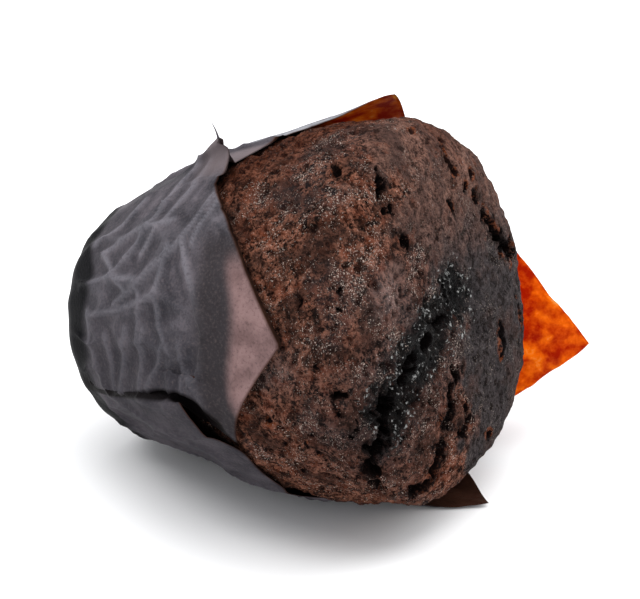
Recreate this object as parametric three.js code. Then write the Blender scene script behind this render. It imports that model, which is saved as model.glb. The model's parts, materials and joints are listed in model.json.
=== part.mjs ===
// A chocolate muffin in a tulip cup, lying on its side.
// The cake is one baked piece. The cup is one square sheet of baking paper, pressed round the cake
// so that its four corners stand up as petals, with a dog-ear pleat between each two petals.
// Millimetres, +Z up. The muffin's own axis points along +X and rises towards the crown.
import * as THREE from "three";
import { ParametricGeometry } from "three/addons/geometries/ParametricGeometry.js";

// ---- Driving dimensions ----
const FOOT_RADIUS = 24.6; // of the cake where its side starts, at the end of the foot's rounding
const FOOT_ROUND = 9; // radius of that rounding
const FOOT_TURN = THREE.MathUtils.degToRad(70); // how far it turns from the flat base
const SHOULDER_RADIUS = 39; // the cake where it is widest
const SHOULDER_HEIGHT = 74; // of that widest ring above the base, along the muffin's axis
const CROWN_HEIGHT = 84.5; // of the top of the cake above the base
const WALL_BULGE = 4.3; // how far the side bows out from a straight cone
const DENT_DEPTH = 2.4; // of the straighter stretch of wall low on the near side
const DENT_ANGLE = THREE.MathUtils.degToRad(145);
const DENT_HEIGHT = 27;
const DENT_REACH = 13; // of that stretch, up and down from its middle
const CROWN_SQUARENESS = 0.5; // 1 is a round dome, 0 is a flat top with square sides
const LEAN = 14.5; // degrees that the axis rises when the muffin lies on its side
const SETTLED = 0.8; // how far the soft side is pressed flat by its own weight
const SHEET = 0.3; // thickness of the paper
const CLEARANCE = 0.5; // between the paper and the cake

// ---- The paper's folds ----
// Each rib runs up the sheet from the foot of the cup to the sheet's edge. It leaves the foot at the
// angle foot, passes through mid and ends at edge, each of which is an angle, a height along the
// axis and how far the sheet stands off the cake there. A rib that doesn't bend evenly also has
// bend, three quarters of the way up. Angle 0 is the top of the lying muffin, 90 its near side (-Y),
// 180 underneath and 270 the far side.
const RIBS = [
  { name: "near petal", foot: 77, mid: [77, 34, 0.3], edge: [76.5, 69.3, 1.2] },
  { name: "near petal, lower half", foot: 84, mid: [84, 30, 0.4], edge: [90.5, 59.7, 1.6] },
  {
    name: "shoulder of the lip",
    foot: 92,
    mid: [88.5, 29, 1.2],
    bend: [87, 43.5, 1.8],
    edge: [99, 55, 2],
  },
  {
    name: "lip of the near pleat",
    foot: 100,
    mid: [94, 29, 2.2],
    bend: [91.5, 43.5, 3],
    edge: [108.5, 51.8, 1.4],
  },
  {
    name: "root of the near pleat",
    foot: 103,
    mid: [90, 27, 0.2],
    bend: [90, 38.5, 0.2],
    edge: [104, 46, 0.2],
  },
  { name: "crest of the near pleat", foot: 107, mid: [98.5, 24, 2.6], edge: [93.2, 42.7, 4.2] },
  { name: "flap of the near pleat", foot: 110, mid: [108, 25, 2], edge: [104, 44.8, 2.6] },
  { name: "end of the flap", foot: 114, mid: [114, 26, 1], edge: [113, 50.6, 0.6] },
  { name: "near panel underneath", foot: 121, mid: [121, 27, 0.4], edge: [122, 51.6, 0.4] },
  { name: "panel underneath", foot: 136, mid: [139, 28, 0.3], edge: [139, 54, 0.4] },
  { name: "low petal, near half", foot: 158, mid: [163, 31, 0.3], edge: [168, 61, 0.3] },
  { name: "low petal", foot: 180, mid: [184, 38, 0.3], edge: [186.5, 79, 7] },
  { name: "low petal, far half", foot: 196, mid: [198, 34, 0.3], edge: [197, 70, 3] },
  { name: "first root of the low pleat", foot: 207, mid: [208, 26, 0.3], edge: [208, 57, 0.6] },
  { name: "crest of the low pleat", foot: 213, mid: [217, 26, 3], edge: [218, 55, 6.5] },
  { name: "second root of the low pleat", foot: 216, mid: [213, 27, 0.5], edge: [211, 59, 1.4] },
  { name: "far petal, lower half", foot: 229, mid: [227, 36, 0.4], edge: [224.4, 74.7, 5] },
  { name: "far petal, lower side", foot: 238, mid: [235, 40, 0.5], edge: [232.6, 80.9, 8] },
  { name: "far petal", foot: 246, mid: [243, 44, 0.6], edge: [240.1, 88.5, 10.5] },
  { name: "far petal, upper side", foot: 254, mid: [253, 40, 0.6], edge: [252.4, 80.3, 8] },
  { name: "far petal, upper half", foot: 262, mid: [263, 36, 0.5], edge: [265, 75.3, 5] },
  { name: "first root of the far pleat", foot: 278, mid: [281, 27, 0.3], edge: [285, 55, 0.6] },
  { name: "crest of the far pleat", foot: 284, mid: [290, 26, 3], edge: [296, 50, 8] },
  { name: "second root of the far pleat", foot: 288, mid: [286, 26, 0.5], edge: [288, 53, 1.5] },
  { name: "top petal, far half", foot: 312, mid: [314, 30, 0.5], edge: [319, 64, 4.4] },
  { name: "top petal", foot: 338, mid: [338, 34, 0.4], edge: [336, 69.2, 5.6] },
  { name: "top petal, near half", foot: 345, mid: [344.5, 31, 0.2], edge: [343.8, 61.8, 2] },
  { name: "top petal, near side", foot: 351, mid: [350.5, 28, 0.1], edge: [350, 56.5, 0.25] },
  { name: "top panel", foot: 357, mid: [357, 27, 0.1], edge: [357, 54, 0.15] },
  { name: "top panel, near half", foot: 361, mid: [363, 25, 0.3], edge: [367, 51.4, 0.3] },
  { name: "second root of the top pleat", foot: 366, mid: [365.5, 24, 0.3], edge: [376, 47, 0.5] },
  {
    name: "crest of the top pleat",
    foot: 372,
    mid: [369.5, 23, 0.5],
    bend: [371.3, 33.5, 2.2],
    edge: [375.5, 45.2, 7.2],
  },
  {
    name: "face of the top pleat",
    foot: 378,
    mid: [375, 25, 0.9],
    bend: [374.5, 36.2, 1.6],
    edge: [376.6, 47.3, 4],
  },
  { name: "first root of the top pleat", foot: 385, mid: [383, 25, 0.6], edge: [381.8, 47.1, 1.3] },
  { name: "notch beside the near petal", foot: 391, mid: [388, 26, 0.4], edge: [385.8, 45.9, 1.2] },
  { name: "near petal, upper half", foot: 412, mid: [409, 30, 0.4], edge: [407, 56.7, 1.4] },
];
const STEPS_PER_RIB = 2; // round the cup, from one rib to the next
const FOOT_ROWS = 6; // from the middle of the base to the end of the foot's rounding
const WALL_ROWS = 12; // from there to the sheet's edge

// ---- The cake's shape ----
const footHeight = FOOT_ROUND * (1 - Math.cos(FOOT_TURN));
const flatRadius = FOOT_RADIUS - FOOT_ROUND * Math.sin(FOOT_TURN);

// Radius of the side at a height h. Above the shoulder it goes straight on, behind the petals.
function sideRadius(h) {
  const share = (h - footHeight) / (SHOULDER_HEIGHT - footHeight);
  if (share >= 1) return SHOULDER_RADIUS;
  const cone = THREE.MathUtils.lerp(FOOT_RADIUS, SHOULDER_RADIUS, share);
  return cone + WALL_BULGE * Math.sin(Math.PI * share);
}

// Broad swellings of the upper half, so that the cake isn't a turned shape, and a straighter wall
// low on the near side, where the bulge is smaller.
function swelling(angle, h) {
  const upper = THREE.MathUtils.smoothstep(h, 30, SHOULDER_HEIGHT);
  const lobes = 0.5 * Math.cos(3 * angle + 0.6) + 0.3 * Math.cos(5 * angle - 1.1);
  const towardsDent = Math.cos(angle - DENT_ANGLE) - 1;
  const dent = DENT_DEPTH * Math.exp(5 * towardsDent - ((h - DENT_HEIGHT) / DENT_REACH) ** 2);
  return upper * lobes - dent;
}

// Half a section of the cake, from the middle of the base to the top of the crown.
function cakeSection() {
  const points = [new THREE.Vector2(0, 0)];
  const footSteps = 5;
  for (let i = 0; i <= footSteps; i++) {
    const turn = (i / footSteps) * FOOT_TURN;
    const radius = flatRadius + FOOT_ROUND * Math.sin(turn);
    points.push(new THREE.Vector2(radius, FOOT_ROUND * (1 - Math.cos(turn))));
  }
  const sideSteps = 11;
  for (let i = 1; i <= sideSteps; i++) {
    const h = THREE.MathUtils.lerp(footHeight, SHOULDER_HEIGHT, i / sideSteps);
    points.push(new THREE.Vector2(sideRadius(h), h));
  }
  const crownSteps = 9;
  for (let i = 1; i < crownSteps; i++) {
    const turn = ((i / crownSteps) * Math.PI) / 2;
    const radius = SHOULDER_RADIUS * Math.cos(turn) ** CROWN_SQUARENESS;
    const h = THREE.MathUtils.lerp(SHOULDER_HEIGHT, CROWN_HEIGHT, Math.sin(turn));
    points.push(new THREE.Vector2(radius, h));
  }
  points.push(new THREE.Vector2(0, CROWN_HEIGHT));
  return points;
}

// ---- Lying down: from places round the muffin's axis to the part's frame ----
const rise = THREE.MathUtils.degToRad(LEAN);
const alongAxis = new THREE.Vector3(Math.cos(rise), 0, Math.sin(rise));
const acrossUp = new THREE.Vector3(-Math.sin(rise), 0, Math.cos(rise));
const acrossNear = new THREE.Vector3(0, -1, 0);
const baseCentre = new THREE.Vector3(0, 0, reachBelowBase() - SETTLED);

// How far the cup's side reaches below the middle of the base.
function reachBelowBase() {
  let lowest = 0;
  for (let h = footHeight; h <= SHOULDER_HEIGHT; h++) {
    const radius = sideRadius(h) + CLEARANCE + SHEET;
    lowest = Math.min(lowest, h * Math.sin(rise) - radius * Math.cos(rise));
  }
  return -lowest;
}

function lay(angle, h, radius) {
  return baseCentre
    .clone()
    .addScaledVector(alongAxis, h)
    .addScaledVector(acrossUp, radius * Math.cos(angle))
    .addScaledVector(acrossNear, radius * Math.sin(angle));
}

// ---- The two pieces ----
function cakeGeometry() {
  const geometry = new THREE.LatheGeometry(cakeSection(), 56);
  const places = geometry.getAttribute("position");
  for (let i = 0; i < places.count; i++) {
    const angle = Math.atan2(-places.getZ(i), places.getX(i));
    const h = places.getY(i);
    const radius = Math.hypot(places.getX(i), places.getZ(i));
    const swollen = radius * (1 + swelling(angle, h) / sideRadius(h));
    const place = lay(angle, h, swollen);
    places.setXYZ(i, place.x, place.y, Math.max(place.z, SHEET + CLEARANCE));
  }
  return geometry;
}

// One part of a rib (0 its angle, 1 its height, 2 its stand-off) at a share of the way up: the
// smooth curve through the few points that the rib gives.
function alongRib(rib, part, share) {
  const start = [rib.foot, footHeight, 0];
  const points = [
    { at: 0, value: start[part] },
    { at: 0.5, value: rib.mid[part] },
    { at: 1, value: rib.edge[part] },
  ];
  if (rib.bend) points.push({ at: 0.75, value: rib.bend[part] });
  let sum = 0;
  for (const point of points) {
    const others = points.filter((other) => other !== point);
    const weights = others.map((other) => (share - other.at) / (point.at - other.at));
    sum += weights.reduce((product, weight) => product * weight, point.value);
  }
  return sum;
}

// The middle of the sheet's thickness on the foot, at a share of the way from the middle of the
// base to the end of the foot's rounding.
function footPoint(angle, share) {
  const flatShare = 0.4;
  const offset = CLEARANCE + SHEET / 2;
  if (share <= flatShare) return lay(angle, -offset, (flatRadius * share) / flatShare);
  const turn = ((share - flatShare) / (1 - flatShare)) * FOOT_TURN;
  const round = FOOT_ROUND + offset;
  return lay(angle, FOOT_ROUND - round * Math.cos(turn), flatRadius + round * Math.sin(turn));
}

// The same on the wall, between one rib and the next, at a share of the way up to the edge.
function wallPoint(rib, next, lap, blend, share) {
  const between = (part, turn) =>
    THREE.MathUtils.lerp(alongRib(rib, part, share), alongRib(next, part, share) + turn, blend);
  const angle = THREE.MathUtils.degToRad(between(0, lap));
  const h = between(1, 0);
  const standOff = Math.max(0, between(2, 0));
  return lay(angle, h, sideRadius(h) + swelling(angle, h) + CLEARANCE + SHEET / 2 + standOff);
}

// The middle of the sheet's thickness, a number of steps round the cup and a number of rows out.
function sheetPoint(step, row) {
  const steps = RIBS.length * STEPS_PER_RIB;
  const place = THREE.MathUtils.euclideanModulo(step, steps) / STEPS_PER_RIB;
  const index = Math.floor(place);
  const rib = RIBS[index];
  const next = RIBS[(index + 1) % RIBS.length];
  const lap = index + 1 === RIBS.length ? 360 : 0;
  const blend = place - index;
  const footAngle = THREE.MathUtils.degToRad(THREE.MathUtils.lerp(rib.foot, next.foot + lap, blend));
  const point =
    row < FOOT_ROWS
      ? footPoint(footAngle, row / FOOT_ROWS)
      : wallPoint(rib, next, lap, blend, Math.min(1, (row - FOOT_ROWS) / WALL_ROWS));
  point.z = Math.max(point.z, SHEET / 2);
  return point;
}

// Which way the sheet's outside faces.
function sheetNormal(step, row) {
  const reach = 0.4;
  if (row < 1) return alongAxis.clone().negate();
  const across = sheetPoint(step + reach, row).sub(sheetPoint(step - reach, row));
  const out = sheetPoint(step, row + reach).sub(sheetPoint(step, row - reach));
  return across.cross(out).normalize();
}

// The outside from the middle of the base to the sheet's edge, and the inside back again.
function paperGeometry() {
  const rows = FOOT_ROWS + WALL_ROWS;
  const skins = 2 * rows + 1;
  const steps = RIBS.length * STEPS_PER_RIB;
  const skin = (u, v, target) => {
    const step = Math.round(u * steps);
    const place = Math.round(v * skins);
    const isOutside = place <= rows;
    const row = isOutside ? place : skins - place;
    const half = isOutside ? SHEET / 2 : -SHEET / 2;
    target.copy(sheetPoint(step, row)).addScaledVector(sheetNormal(step, row), half);
    target.z = Math.max(target.z, 0);
  };
  return new ParametricGeometry(skin, steps, skins);
}

// ---- Assembly ----
function piece(name, geometry, color, roughness) {
  const material = new THREE.MeshStandardMaterial({ color, roughness, metalness: 0 });
  const mesh = new THREE.Mesh(geometry, material);
  mesh.name = name;
  return mesh;
}

const muffin = new THREE.Group();
muffin.add(piece("cake", cakeGeometry(), 0x3a211a, 0.85));
muffin.add(piece("tulip_paper", paperGeometry(), 0x3c2c2b, 0.5));

// The origin is under the middle of the muffin, on the surface that it lies on.
const box = new THREE.Box3().setFromObject(muffin, true);
muffin.position.set(-(box.min.x + box.max.x) / 2, -(box.min.y + box.max.y) / 2, -box.min.z);

export default muffin;
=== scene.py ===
"""A dark chocolate muffin in a folded tulip cup of baking parchment, lying on its side.

The muffin is made in its own frame first: x is the height above the base along the muffin's axis,
y points to the top of the lying muffin and z to its near side, all in millimetres. It is then laid
down where the frame's base mount says. An angle goes round the axis from y towards z, in degrees.
"""

import json
import math

import bmesh
import bpy
import numpy as np
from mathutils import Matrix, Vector, noise


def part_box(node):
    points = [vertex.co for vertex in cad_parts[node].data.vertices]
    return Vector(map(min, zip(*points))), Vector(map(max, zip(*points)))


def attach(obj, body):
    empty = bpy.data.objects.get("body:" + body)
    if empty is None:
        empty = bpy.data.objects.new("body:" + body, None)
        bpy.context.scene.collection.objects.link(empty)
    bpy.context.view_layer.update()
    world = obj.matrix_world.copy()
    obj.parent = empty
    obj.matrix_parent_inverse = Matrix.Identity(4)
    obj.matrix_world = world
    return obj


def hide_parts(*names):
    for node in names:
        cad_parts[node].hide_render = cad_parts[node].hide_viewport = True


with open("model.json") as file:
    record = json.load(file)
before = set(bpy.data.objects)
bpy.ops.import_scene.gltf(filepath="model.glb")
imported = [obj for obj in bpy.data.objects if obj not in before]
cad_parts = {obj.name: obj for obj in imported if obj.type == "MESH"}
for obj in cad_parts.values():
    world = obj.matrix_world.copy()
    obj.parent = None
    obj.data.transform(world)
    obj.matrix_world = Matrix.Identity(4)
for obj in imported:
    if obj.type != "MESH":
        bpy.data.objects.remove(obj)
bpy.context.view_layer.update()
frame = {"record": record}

MM = 0.001

# ---- The muffin's shape ----
FOOT_RADIUS = 24.6
FOOT_ROUND = 9.0
FOOT_TURN = math.radians(70)
SHOULDER_RADIUS = 39.0
SHOULDER_HEIGHT = 74.0
CROWN_HEIGHT = 84.5
WALL_BULGE = 4.3
DENT_DEPTH = 2.4
DENT_ANGLE = math.radians(145)
DENT_HEIGHT = 27.0
DENT_REACH = 13.0
CROWN_SQUARENESS = 0.5
SOLID_GAP = 0.8  # from the cake to the outside of the paper, in the solids
PAPER_GAP = 0.45  # from the cake to the middle of the sheet
PAPER_THICKNESS = 0.12
GRAIN_DETAIL = 3.0
GRAIN_ROUGHNESS = 0.7
FIBRE_LENGTH = 3.2  # the torn wisp at the tip of the top pleat
FIBRE_WIDTH = 0.55
FIBRE_LEAN = 1.6
CAKE_STEPS = 396  # round the cake
BARE_HEIGHT = 70.0  # above this no paper touches the cake
CRACK_WANDER = 2.3  # how far the cracks stray from their straight stretches
SHEET_LIFT = 0.12  # lowest that the middle of the sheet comes to the surface it lies on

FOOT_HEIGHT = FOOT_ROUND * (1 - math.cos(FOOT_TURN))
FLAT_RADIUS = FOOT_RADIUS - FOOT_ROUND * math.sin(FOOT_TURN)

# ---- The paper's ribs, round the axis ----
# Each has a name and its angle at the foot, then its angle, height and stand-off from the cake
# half-way up and at the sheet's edge, and what the sheet does there: it runs on smoothly (plain),
# its edge has a corner, or it is folded sharply.
RIBS = [
    ("near petal", 77, (77, 34, 0.3), (76.5, 69.3, 1.2), "corner"),
    ("near petal, lower half", 84, (84, 30, 0.4), (90.5, 59.7, 1.6), "plain"),
    ("shoulder of the lip", 92, (88.5, 29, 1.2), (99, 55, 2.0), "plain"),
    ("lip of the near pleat", 100, (94, 29, 2.4), (108.5, 51.8, 1.4), "fold"),
    ("root of the near pleat", 103, (90, 27, 0.2), (104, 46, 0.2), "fold"),
    ("crest of the near pleat", 107, (98.5, 24, 2.6), (93.2, 42.7, 4.2), "fold"),
    ("flap of the near pleat", 110, (108, 25, 2.0), (104, 44.8, 2.6), "plain"),
    ("end of the flap", 114, (114, 26, 1.0), (113, 50.6, 0.6), "plain"),
    ("near panel underneath", 121, (121, 27, 0.4), (122, 51.6, 0.4), "plain"),
    ("panel underneath", 136, (139, 28, 0.3), (139, 54, 0.4), "plain"),
    ("low petal, near half", 158, (163, 31, 0.3), (168, 61, 0.3), "plain"),
    ("low petal", 180, (184, 38, 0.3), (186.5, 79, 7), "corner"),
    ("low petal, far half", 196, (198, 34, 0.3), (197, 70, 3), "plain"),
    ("first root of the low pleat", 207, (208, 26, 0.3), (208, 57, 0.6), "fold"),
    ("crest of the low pleat", 213, (217, 26, 3), (218, 55, 6.5), "fold"),
    ("second root of the low pleat", 216, (213, 27, 0.5), (211, 59, 1.4), "fold"),
    ("far petal, lower half", 229, (227, 36, 0.4), (224.4, 74.7, 5), "corner"),
    ("far petal, lower side", 238, (235, 40, 0.5), (232.6, 80.9, 8), "corner"),
    ("far petal", 246, (243, 44, 0.6), (240.1, 88.5, 10.5), "corner"),
    ("far petal, upper side", 254, (253, 40, 0.6), (252.4, 80.3, 8), "corner"),
    ("far petal, upper half", 262, (263, 36, 0.5), (265, 75.3, 5), "corner"),
    ("first root of the far pleat", 278, (281, 27, 0.3), (285, 55, 0.6), "fold"),
    ("crest of the far pleat", 284, (290, 26, 3), (296, 50, 8), "fold"),
    ("second root of the far pleat", 288, (286, 26, 0.5), (288, 53, 1.5), "fold"),
    ("top petal, far half", 312, (314, 30, 0.5), (319, 64, 4.4), "plain"),
    ("top petal", 338, (338, 34, 0.4), (336, 69.2, 5.6), "corner"),
    ("top petal, near half", 345, (344.5, 31, 0.2), (343.8, 61.8, 2.0), "corner"),
    ("top petal, near side", 351, (350.5, 28, 0.1), (350, 56.5, 0.25), "plain"),
    ("top panel", 357, (357, 27, 0.1), (357, 54, 0.15), "plain"),
    ("top panel, near half", 361, (363, 25, 0.3), (367, 51.4, 0.3), "plain"),
    ("second root of the top pleat", 366, (365.5, 24, 0.3), (376, 47, 0.5), "fold"),
    ("crest of the top pleat", 372, (369.5, 23, 0.5), (375.5, 45.2, 7.2), "fold"),
    ("face of the top pleat", 378, (375, 25, 0.9), (376.6, 47.3, 4), "plain"),
    ("first root of the top pleat", 385, (383, 25, 0.6), (381.8, 47.1, 1.3), "plain"),
    ("notch beside the near petal", 391, (388, 26, 0.4), (385.8, 45.9, 1.2), "corner"),
    ("near petal, upper half", 412, (409, 30, 0.4), (407, 56.7, 1.4), "plain"),
]
# Where a rib doesn't bend evenly: its angle, height and stand-off at three quarters of the way up.
BENDS = {
    "shoulder of the lip": (87, 43.5, 1.8),
    "lip of the near pleat": (91.5, 43.5, 3.0),
    "root of the near pleat": (90, 38.5, 0.2),
    "top petal, far half": (316.1, 45.8, 1.3),
    "top petal": (337.3, 50.7, 1.2),
    "top petal, near half": (344.2, 45.7, 0.35),
    "crest of the top pleat": (371.3, 33.5, 2.2),
    "face of the top pleat": (374.5, 36.2, 1.6),
}
# Between these two the paper turns in behind itself and is painted black as shade.
TUCKED = ("lip of the near pleat", "root of the near pleat")
PAPER_COLUMNS = 400
FOOT_GATHERS = 17  # small gathers round the foot of the cup
MM_PER_DEGREE = 0.6  # round the cup, about half-way up
WALL_RADIUS = 34.0  # about half-way up the cup
FLAT_SHARE = 0.45  # of the rows of the foot that lie on its flat part
FOOT_ROWS = 14
WALL_ROWS = 92

# Creases pressed into the paper: their course in angle and height, how high they stand, how wide
# they are, in millimetres.
CREASES = [
    ([(9, 38), (20, 33), (33, 30), (45, 26), (54, 19)], 0.40, 0.8),
    ([(16, 41), (28, 37), (38, 33), (47, 29)], 0.28, 0.7),
    ([(31, 47), (39, 44), (45, 42), (52, 35), (58, 30), (64, 22)], 0.50, 0.7),
    ([(33, 49), (41, 46), (47, 45)], 0.28, 0.6),
    ([(45, 42), (53, 44), (62, 47), (74, 50), (84, 48), (90, 45)], 0.55, 0.7),
    ([(37, 37), (37, 25), (42, 15)], 0.35, 0.8),
    ([(56, 29), (53, 18), (55, 8)], 0.35, 0.7),
    ([(46, 38), (60, 36), (72, 37), (80, 40)], 0.38, 0.7),
    ([(58, 30), (66, 31), (75, 30), (84, 31)], 0.32, 0.6),
    ([(73, 26), (85, 24), (97, 21)], 0.40, 0.8),
    ([(73, 32), (83, 31), (95, 29)], 0.40, 0.8),
    ([(76, 18), (88, 19), (98, 18)], 0.35, 0.7),
    ([(78, 38), (86, 35), (92, 32)], 0.38, 0.7),
    ([(78, 43), (84, 43), (90, 43)], 0.38, 0.7),
    ([(79, 60), (89, 56), (103, 51)], 0.30, 0.6),
    ([(86, 44), (91, 47), (98, 49)], 0.45, 0.8),
    ([(20, 22), (30, 18), (36, 10)], 0.35, 0.7),
    ([(62, 36), (66, 24), (68, 12)], 0.32, 0.7),
    ([(66, 12), (78, 12), (92, 13)], 0.28, 0.7),
    ([(42, 15), (52, 20), (60, 26)], 0.28, 0.6),
    ([(246, 20), (242, 45), (236, 70)], 0.30, 0.9),
    ([(255, 15), (262, 35), (258, 55)], 0.30, 0.9),
    ([(345, 18), (340, 35), (338, 55)], 0.30, 0.9),
    ([(300, 12), (308, 28), (304, 44)], 0.30, 0.9),
    ([(176, 14), (190, 34), (184, 52)], 0.25, 0.9),
]

# ---- Cracks and pits of the cake: their course as (x, y, z), half width and depth ----
NOTCH = [(84, 12, -20), (84, 8, -23), (83, 5, -26), (83, 2, -29)]
FISSURES = [
    (NOTCH, 2.3, 4.6),
    ([(84, 2, 3), (84, 0.5, 8)], 1.3, 1.1),
    ([(84, -2, 12), (84, -3.5, 14)], 1.0, 1.0),
    ([(84, -3, 19), (83.5, -6, 24)], 1.2, 1.3),
    ([(83, -8, 28), (81.5, -12, 30.5), (80, -15, 31.8), (78.5, -18.7, 32)], 2.5, 3.8),
    ([(78.5, -18.7, 32), (77.4, -22.4, 30.5), (75.7, -26, 28.7)], 0.9, 2.0),
    ([(84, -12, 5), (84, -15, 8.1), (84, -18, 9.8), (83.8, -19.8, 11.4)], 1.9, 3.0),
    ([(84, -20.8, 2.3), (83.8, -23.3, 3.7), (83.5, -24.7, 6.4)], 1.3, 2.2),
    ([(82.9, -24, 14.6), (82.3, -26.4, 15.3), (81.2, -28.8, 16.8), (79.5, -30.4, 19.3)], 2.2, 3.6),
    ([(80.1, 33.2, 11.4), (81.1, 30.9, 12.6), (81.9, 28.6, 13.3), (82.4, 26.5, 13.4)], 0.9, 1.7),
    ([(83.6, 21, 12.4), (83.9, 18.3, 12.4)], 1.0, 1.7),
    ([(83.7, 22.6, -6.4), (84, 19.9, -7.4)], 0.8, 1.3),
    ([(71.3, 30.5, 24.2), (72.1, 29.2, 25.7)], 1.1, 2.0),
    ([(69.9, 37.5, 10.4), (71.6, 37, 12.2)], 0.6, 1.2),
    ([(73.6, 36.2, 14.5), (74.2, 35.7, 15.4)], 0.7, 1.2),
    ([(79, 15.6, 32.9), (79.3, 14.2, 33.3)], 1.1, 1.9),
    ([(79.4, -2.1, 36.1), (78.1, -2.8, 37.3), (77.4, -4.3, 37.7)], 0.9, 1.6),
    ([(78.5, -8.8, 36), (77.9, -10.5, 36)], 0.6, 1.4),
    ([(74.4, 2.1, 38.9), (75.8, 3.5, 38.5)], 0.6, 1.1),
    ([(72, -6.4, 38.5), (72.3, -7, 38.3)], 0.6, 1.1),
    ([(82.7, -16.7, 24), (82.3, -19.1, 23.6)], 0.7, 1.4),
    ([(83.3, -18.2, 18.8), (83, -20.3, 19)], 0.7, 1.4),
]
PITS = [
    ([(80, 32, -15), (80.5, 31.5, -14)], 0.8, 1.2),
    ([(81.5, 30, -12), (82, 29.5, -12)], 0.9, 1.2),
    ([(82.4, 28, -11.5), (82.8, 25.5, -13.3)], 1.0, 1.4),
    ([(82.5, 23, -19.4), (82.6, 22.5, -19)], 1.0, 1.4),
    ([(83.3, 22, -14.4), (83.4, 21.5, -14)], 0.9, 1.2),
    ([(83.3, 19, -18.4), (83.4, 17.5, -18.8)], 0.8, 1.3),
    ([(84, 21, -7.6), (84, 19, -8)], 0.8, 1.0),
    ([(78.3, 36.7, -6), (78.8, 36, -7)], 0.7, 0.8),
    ([(70.4, 37, 11), (71, 36.8, 12)], 0.7, 1.1),
    ([(74, 36, 15), (74, 35.5, 15.5)], 0.7, 1.1),
    ([(68.6, -22.8, 31.8), (68.9, -22.5, 31.7)], 0.9, 1.3),
    ([(62.3, -20.4, 32.9), (62.8, -20.2, 32.9)], 0.7, 1.0),
    ([(69, -15, 36), (69.3, -15.4, 35.8)], 0.8, 1.2),
    ([(67, -12.5, 37), (67, -13, 37)], 0.5, 0.9),
    ([(61.7, -13, 36.3), (62, -13.4, 36.2)], 0.6, 1.0),
    ([(61, -7.3, 37.9), (61.6, -7.5, 37.9)], 0.6, 0.9),
    ([(84, -12, -15.5), (84, -13.5, -14.6)], 1.3, 0.6),
    ([(84, -9.5, -16.5), (84, -15.5, -14)], 0.8, 0.7),
    ([(82, -8, -26), (81, -14, -27)], 1.2, 1.0),
    ([(84, -30, -6), (82, -32, -8)], 1.2, 1.2),
    ([(76, 10, -36), (74, 4, -38)], 1.0, 1.4),
]
NOTCH_RIM = 2.6  # half width of the torn crumb beside the notch
# Where the top petal's painted shadow falls on the cake, where chocolate has run and the crumb round it is
# darkened, and where the crumb has lighter grey patches, in the same coordinates.
UNDER_TOP_PETAL = [(48, 36, 12), (55, 38, 4), (61, 39, -4), (68, 37, -11), (74, 34, -16)]
MELTED = [(84, 3, 0), (84, 0, 8), (84, -2, 14), (84, -4, 19), (83.5, -7, 25), (82.5, -10, 28.5)]
MELTED_WIDTH = 5.4
SLATE_ROUND_MELT_REACH = 15
LOW_GREY_PATCH = (83.5, 12.5, 22)
HIGH_GREY_PATCH = [(67, 4, 38), (64, 3, 38)]

# ---- The studio: each light's name, place from the cake's middle, diameter and power ----
SOFTBOXES = [
    ("back_softbox", (0.35, 0.50, 0.30), 0.7, 4),
    ("top_softbox", (0.05, 0.0, 0.8), 0.8, 6),
    ("front_softbox", (-0.35, -0.35, 0.7), 0.35, 2.5),
]
SKY_STRENGTH = 0.78
CAMERA_AZIMUTH = math.radians(30.6)
CAMERA_ELEVATION = math.radians(25.5)
CAMERA_DISTANCE = 0.5
CAMERA_TARGET = (52.2, 3.1, 0.0)  # in the muffin's own millimetres
LENS = 134.9
SENSOR_WIDTH = 36.0
FLOOR_HALF_WIDTH = 6.0
FLOOR_DROP = 0.0002

# ---- Where the muffin lies ----
base_mount = next(m for m in frame["record"]["mounts"] if m["name"] == "base")
along = -Vector(base_mount["axis"]).normalized()
near = Vector((0, -1, 0))
across = near.cross(along)
base_centre = Vector(base_mount["pos_m"]) + along * SOLID_GAP * MM
AXES = np.array([along, across, near])


def lay(places):
    """Places in the muffin's own millimetres, in the part's frame."""
    return np.array(base_centre) + places @ AXES * MM


def smoothstep(value, low, high):
    """0 below low, 1 above high and smooth between them."""
    share = np.clip((value - low) / (high - low), 0, 1)
    return share * share * (3 - 2 * share)


def side_radius(height):
    """The radius of the muffin's side at a height, before it swells or dents."""
    share = np.clip((height - FOOT_HEIGHT) / (SHOULDER_HEIGHT - FOOT_HEIGHT), 0, 1)
    cone = FOOT_RADIUS + (SHOULDER_RADIUS - FOOT_RADIUS) * share
    return cone + WALL_BULGE * np.sin(math.pi * share)


def swelling(angle, height):
    """How far the side stands out of round: soft lobes near the top and one dent."""
    lobes = 0.5 * np.cos(3 * angle + 0.6) + 0.3 * np.cos(5 * angle - 1.1)
    dent = np.exp(5 * (np.cos(angle - DENT_ANGLE) - 1) - ((height - DENT_HEIGHT) / DENT_REACH) ** 2)
    return smoothstep(height, 30, SHOULDER_HEIGHT) * lobes - DENT_DEPTH * dent


def grain(places, size, octaves, seed):
    """Smooth noise, about -1 to 1, whose lumps are size millimetres across."""
    shift = Vector((seed * 17.3, seed * -9.1, seed * 5.7))
    return np.array([noise.fractal(Vector(p) / size + shift, 0.9, 2.1, octaves) for p in places])


def cells(places, size, seed):
    """Distance to the nearest of scattered points, in cells, and a random number for that point."""
    shift = Vector((seed * 11.9, seed * 3.3, seed * -7.7))
    distance = np.empty(len(places))
    pick = np.empty(len(places))
    for i, place in enumerate(places):
        found = noise.voronoi(Vector(place) / size + shift)
        distance[i] = found[0][0]
        point = found[1][0]
        pick[i] = noise.cell(point * 9.7 + Vector((31.4, 2.7, 8.1)))
    return distance, np.abs(pick)


def from_course(places, course):
    """How far each place is from a course of straight stretches."""
    nearest = np.full(len(places), 1e9)
    for start, end in zip(course, course[1:]):
        start, end = np.array(start, float), np.array(end, float)
        stretch = end - start
        share = np.clip((places - start) @ stretch / (stretch @ stretch), 0, 1)
        gap = np.linalg.norm(places - (start + share[:, None] * stretch), axis=1)
        nearest = np.minimum(nearest, gap)
    return nearest


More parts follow.
